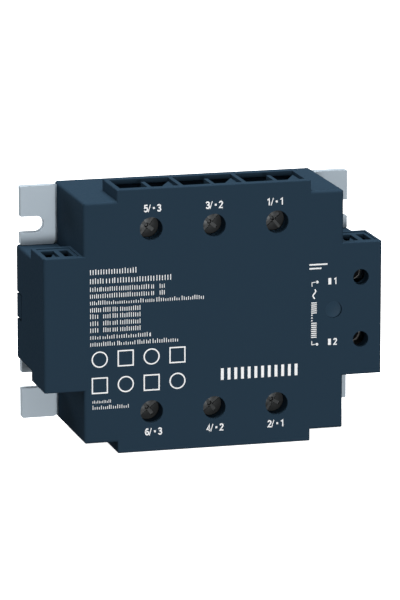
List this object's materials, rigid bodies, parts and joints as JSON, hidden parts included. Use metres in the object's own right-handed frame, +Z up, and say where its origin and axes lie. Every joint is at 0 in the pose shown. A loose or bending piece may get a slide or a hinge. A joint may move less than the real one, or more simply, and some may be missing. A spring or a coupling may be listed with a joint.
{
  "type": "three-phase solid state relay",
  "caption": "Panel-mounted three-phase solid state relay: dark moulded housing with touch-safe screw terminals and two side wings on a slotted metal base plate.",
  "frame": {"origin": "centre of the base plate's rear face, which lies on the panel or heatsink", "axes": "+X to the viewer's right, +Y out of the plate's rear face into the panel, +Z up, towards the line terminals; the front faces -Y"},
  "size_m": [0.105, 0.0365, 0.0806],
  "materials": {
    "plate": "fine blasted satin",
    "housing": "moulded dark blue-grey, fine grain",
    "lens": "smoked, polished",
    "led": "diffused",
    "board": "solder mask",
    "black_mould": "moulded",
    "resistor_body": "lacquered",
    "film_box": "boxed film",
    "varistor_coat": "dipped coating",
    "ceramic": "sintered",
    "copper": "bare copper",
    "silicon": "passivated",
    "tinned": "tin plated",
    "potting": "cast resin",
    "screw": "dark plated"
  },
  "bodies": {
    "relay": {"base_plate": "plate", "housing": "housing", "front_cover": "housing", "line_terminal_block": "housing", "load_terminal_block": "housing", "status_lens": "lens", "status_led": "led", "control_board": "board", "optocouplers": "black_mould", "snubber_resistors": "resistor_body", "snubber_capacitors": "film_box", "varistors": "varistor_coat", "input_resistors": "black_mould", "input_regulator": "black_mould", "ceramic_tiles": "ceramic", "copper_pads": "copper", "thyristor_chips": "silicon", "cathode_clips": "copper", "gate_pins": "tinned", "potting_layer": "potting", "line_terminal_bars": "tinned", "load_terminal_bars": "tinned", "control_terminal_bars": "tinned", "power_nuts": "tinned", "control_nuts": "tinned"},
    "line_clamp_1": {"line_clamp_1": "tinned"},
    "line_screw_1": {"line_screw_1": "screw"},
    "line_clamp_2": {"line_clamp_2": "tinned"},
    "line_screw_2": {"line_screw_2": "screw"},
    "line_clamp_3": {"line_clamp_3": "tinned"},
    "line_screw_3": {"line_screw_3": "screw"},
    "load_clamp_1": {"load_clamp_1": "tinned"},
    "load_screw_1": {"load_screw_1": "screw"},
    "load_clamp_2": {"load_clamp_2": "tinned"},
    "load_screw_2": {"load_screw_2": "screw"},
    "load_clamp_3": {"load_clamp_3": "tinned"},
    "load_screw_3": {"load_screw_3": "screw"},
    "control_clamp_1": {"control_clamp_1": "tinned"},
    "control_screw_1": {"control_screw_1": "screw"},
    "control_clamp_2": {"control_clamp_2": "tinned"},
    "control_screw_2": {"control_screw_2": "screw"}
  },
  "joints": [
    {"name": "line_clamp_1_travel", "type": "slide", "parent": "relay", "child": "line_clamp_1", "axis": [0, -1, 0], "range_m": [-0.0056, 0]},
    {"name": "line_screw_1_turn", "type": "hinge", "parent": "line_clamp_1", "child": "line_screw_1", "pos_m": [0.0195, -0.029, 0.028], "axis": [0, -1, 0], "range_deg": [-2881, 1]},
    {"name": "line_clamp_2_travel", "type": "slide", "parent": "relay", "child": "line_clamp_2", "axis": [0, -1, 0], "range_m": [-0.0056, 0]},
    {"name": "line_screw_2_turn", "type": "hinge", "parent": "line_clamp_2", "child": "line_screw_2", "pos_m": [0, -0.029, 0.028], "axis": [0, -1, 0], "range_deg": [-2881, 1]},
    {"name": "line_clamp_3_travel", "type": "slide", "parent": "relay", "child": "line_clamp_3", "axis": [0, -1, 0], "range_m": [-0.0056, 0]},
    {"name": "line_screw_3_turn", "type": "hinge", "parent": "line_clamp_3", "child": "line_screw_3", "pos_m": [-0.0195, -0.029, 0.028], "axis": [0, -1, 0], "range_deg": [-2881, 1]},
    {"name": "load_clamp_1_travel", "type": "slide", "parent": "relay", "child": "load_clamp_1", "axis": [0, -1, 0], "range_m": [-0.0056, 0]},
    {"name": "load_screw_1_turn", "type": "hinge", "parent": "load_clamp_1", "child": "load_screw_1", "pos_m": [0.0195, -0.029, -0.028], "axis": [0, -1, 0], "range_deg": [-2881, 1]},
    {"name": "load_clamp_2_travel", "type": "slide", "parent": "relay", "child": "load_clamp_2", "axis": [0, -1, 0], "range_m": [-0.0056, 0]},
    {"name": "load_screw_2_turn", "type": "hinge", "parent": "load_clamp_2", "child": "load_screw_2", "pos_m": [0, -0.029, -0.028], "axis": [0, -1, 0], "range_deg": [-2881, 1]},
    {"name": "load_clamp_3_travel", "type": "slide", "parent": "relay", "child": "load_clamp_3", "axis": [0, -1, 0], "range_m": [-0.0056, 0]},
    {"name": "load_screw_3_turn", "type": "hinge", "parent": "load_clamp_3", "child": "load_screw_3", "pos_m": [-0.0195, -0.029, -0.028], "axis": [0, -1, 0], "range_deg": [-2881, 1]},
    {"name": "control_clamp_1_travel", "type": "slide", "parent": "relay", "child": "control_clamp_1", "axis": [0, -1, 0], "range_m": [-0.0015, 0.003]},
    {"name": "control_screw_1_turn", "type": "hinge", "parent": "control_clamp_1", "child": "control_screw_1", "pos_m": [0.0459, -0.029, 0.0096], "axis": [0, -1, 0], "range_deg": [-1081, 2161]},
    {"name": "control_clamp_2_travel", "type": "slide", "parent": "relay", "child": "control_clamp_2", "axis": [0, -1, 0], "range_m": [-0.0015, 0.003]},
    {"name": "control_screw_2_turn", "type": "hinge", "parent": "control_clamp_2", "child": "control_screw_2", "pos_m": [0.0459, -0.029, -0.0096], "axis": [0, -1, 0], "range_deg": [-1081, 2161]}
  ],
  "couplings": [
    {"joint": "line_screw_1_turn", "follows": "line_clamp_1_travel", "rad_per_m": 8976},
    {"joint": "line_screw_2_turn", "follows": "line_clamp_2_travel", "rad_per_m": 8976},
    {"joint": "line_screw_3_turn", "follows": "line_clamp_3_travel", "rad_per_m": 8976},
    {"joint": "load_screw_1_turn", "follows": "load_clamp_1_travel", "rad_per_m": 8976},
    {"joint": "load_screw_2_turn", "follows": "load_clamp_2_travel", "rad_per_m": 8976},
    {"joint": "load_screw_3_turn", "follows": "load_clamp_3_travel", "rad_per_m": 8976},
    {"joint": "control_screw_1_turn", "follows": "control_clamp_1_travel", "rad_per_m": 12566},
    {"joint": "control_screw_2_turn", "follows": "control_clamp_2_travel", "rad_per_m": 12566}
  ]
}
